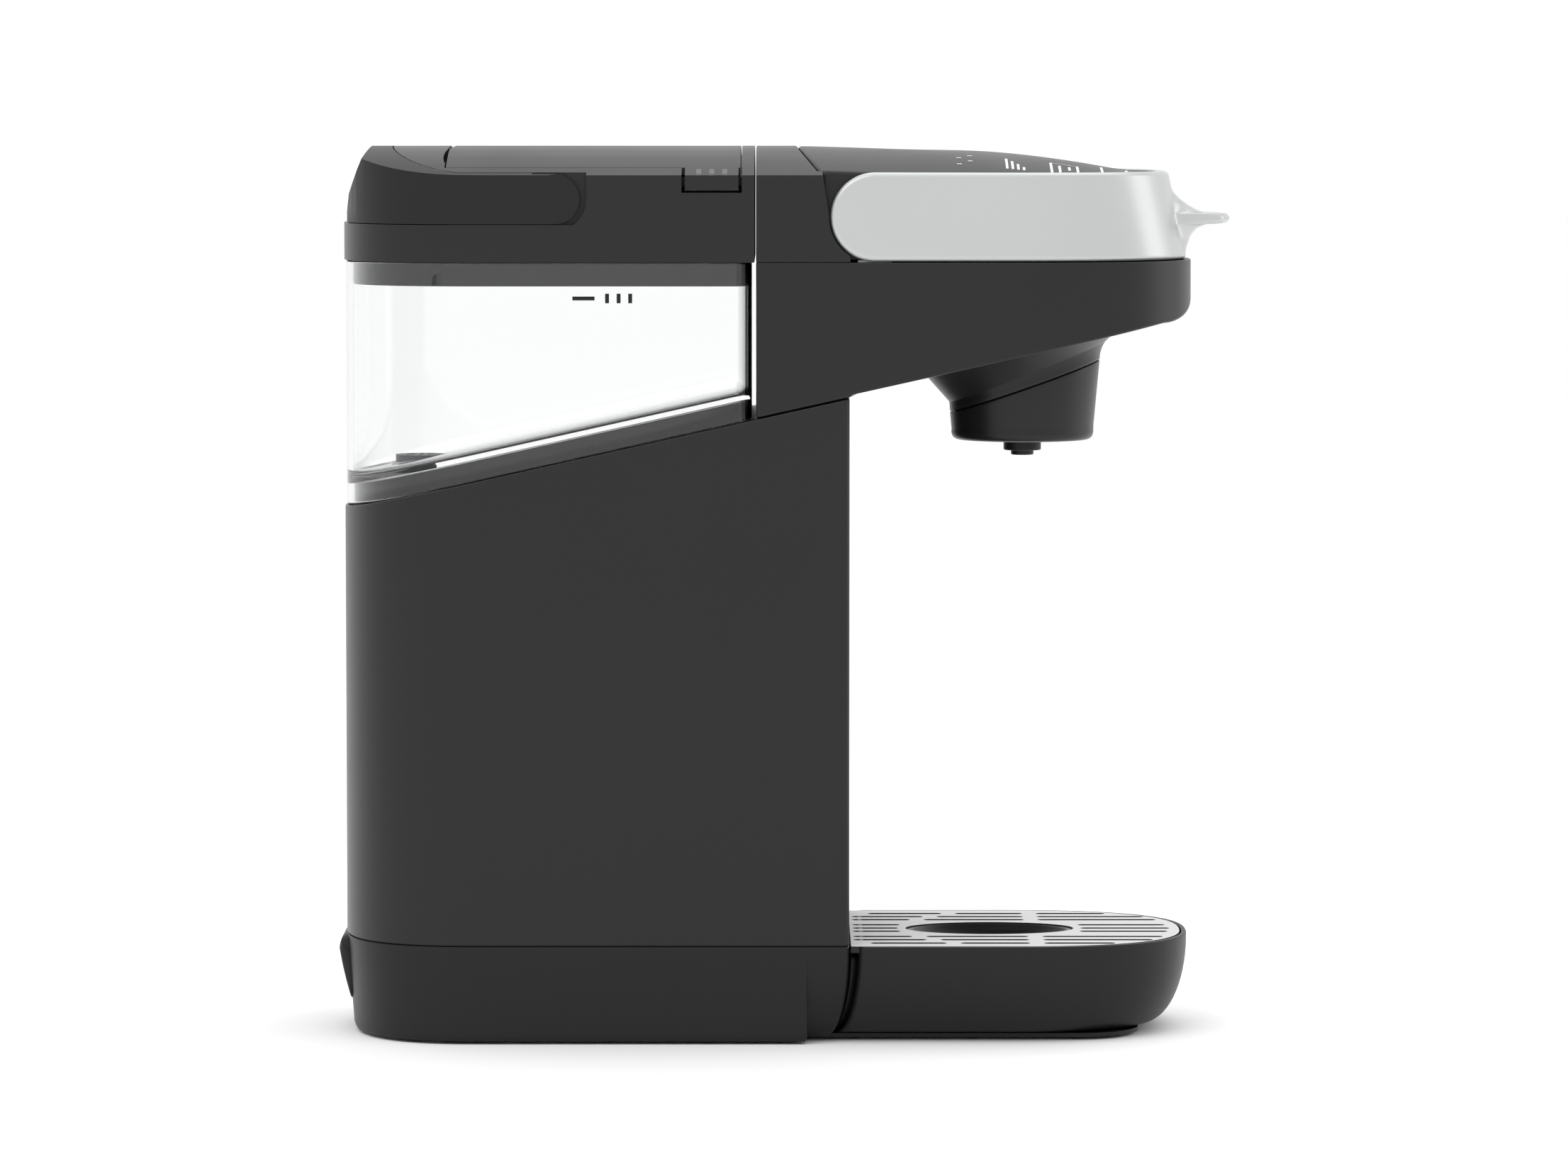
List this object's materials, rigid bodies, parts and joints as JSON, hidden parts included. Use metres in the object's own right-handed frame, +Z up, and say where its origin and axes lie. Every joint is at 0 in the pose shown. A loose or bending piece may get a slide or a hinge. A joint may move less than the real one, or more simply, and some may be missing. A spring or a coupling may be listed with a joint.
{
  "type": "pod coffee machine",
  "caption": "Slim single-cup pod coffee machine with a lift-out water tank, lever-opened pod chamber and pull-out drip tray.",
  "frame": {"origin": "on the table under the middle of the machine's width and depth", "axes": "-Y towards the front, +Z up, X across the width"},
  "size_m": [0.115, 0.3226, 0.3194],
  "materials": {
    "dark_shell": "satin moulded",
    "dark_base": "matt moulded",
    "rubber": "matt",
    "steel": "bright",
    "silicone": "soft",
    "grey_plastic": "moulded",
    "cast_alloy": "cast",
    "hose": "translucent silicone",
    "board": "solder resist",
    "silver": "light silver satin",
    "clear": "clear moulded",
    "white_plastic": "moulded",
    "light_grey": "satin moulded"
  },
  "bodies": {
    "root": {"base_shell": "dark_shell", "base_plate": "dark_base", "rubber_feet": "rubber", "base_screws": "steel", "cord_gland": "rubber", "body_shell": "dark_shell", "tank_deck": "dark_base", "dock_seal": "silicone", "dock_spigot": "dark_base", "flow_meter": "grey_plastic", "water_pump": "steel", "pump_mounts": "rubber", "pump_bracket": "steel", "heater_block": "cast_alloy", "heater_bracket": "steel", "inlet_hose": "hose", "pump_hose": "hose", "brew_hose": "hose", "brew_elbow": "grey_plastic", "main_board": "board", "head_shell": "dark_shell", "head_deck": "dark_base", "head_cover": "dark_shell", "hinge_brackets": "steel", "hinge_pins": "steel", "lid_switch": "grey_plastic", "funnel_housing": "dark_shell", "pod_holder": "dark_base", "exit_needle": "steel", "nozzle": "dark_base"},
    "lid": {"pod_lid": "dark_shell", "lid_inner": "dark_base", "piercing_needle": "steel", "pod_seal": "silicone", "control_board": "board"},
    "lever": {"lever": "silver", "lever_bushes": "dark_base"},
    "tank": {"tank": "clear", "valve_body": "white_plastic", "valve_plunger": "silicone", "valve_spring": "steel", "inlet_filter": "grey_plastic"},
    "tank_lid": {"tank_lid": "dark_shell", "door_hinge_pin": "steel", "handle_pins": "steel"},
    "fill_door": {"fill_door": "dark_shell"},
    "tank_handle": {"tank_handle": "dark_base"},
    "tray": {"drip_tray": "dark_base"},
    "grid": {"drip_grid": "light_grey", "cup_dish": "dark_base"}
  },
  "joints": [
    {"name": "lever_lift", "type": "hinge", "parent": "root", "child": "lever", "pos_m": [0, -0.0323, 0.2948], "axis": [-1, 0, 0], "range_deg": [0, 75]},
    {"name": "lid_lift", "type": "hinge", "parent": "root", "child": "lid", "pos_m": [0, -0.0323, 0.2948], "axis": [-1, 0, 0], "range_deg": [0, 60]},
    {"name": "tank_lift", "type": "slide", "parent": "root", "child": "tank", "axis": [0, 0, 1], "range_m": [0, 0.15]},
    {"name": "tank_lid_lift", "type": "slide", "parent": "tank", "child": "tank_lid", "axis": [0, 0, 1], "range_m": [0, 0.06]},
    {"name": "fill_door_swing", "type": "hinge", "parent": "tank_lid", "child": "fill_door", "pos_m": [0, 0.1178, 0.316], "axis": [-1, 0, 0], "range_deg": [0, 35]},
    {"name": "tank_handle_swing", "type": "hinge", "parent": "tank_lid", "child": "tank_handle", "pos_m": [0, 0.0812, 0.3011], "axis": [1, 0, 0], "range_deg": [0, 90]},
    {"name": "tray_slide", "type": "slide", "parent": "root", "child": "tray", "axis": [0, -1, 0], "range_m": [0, 0.13]},
    {"name": "grid_lift", "type": "slide", "parent": "tray", "child": "grid", "axis": [0, 0, 1], "range_m": [0, 0.03]}
  ],
  "couplings": [
    {"joint": "lid_lift", "follows": "lever_lift", "ratio": 0.8}
  ]
}
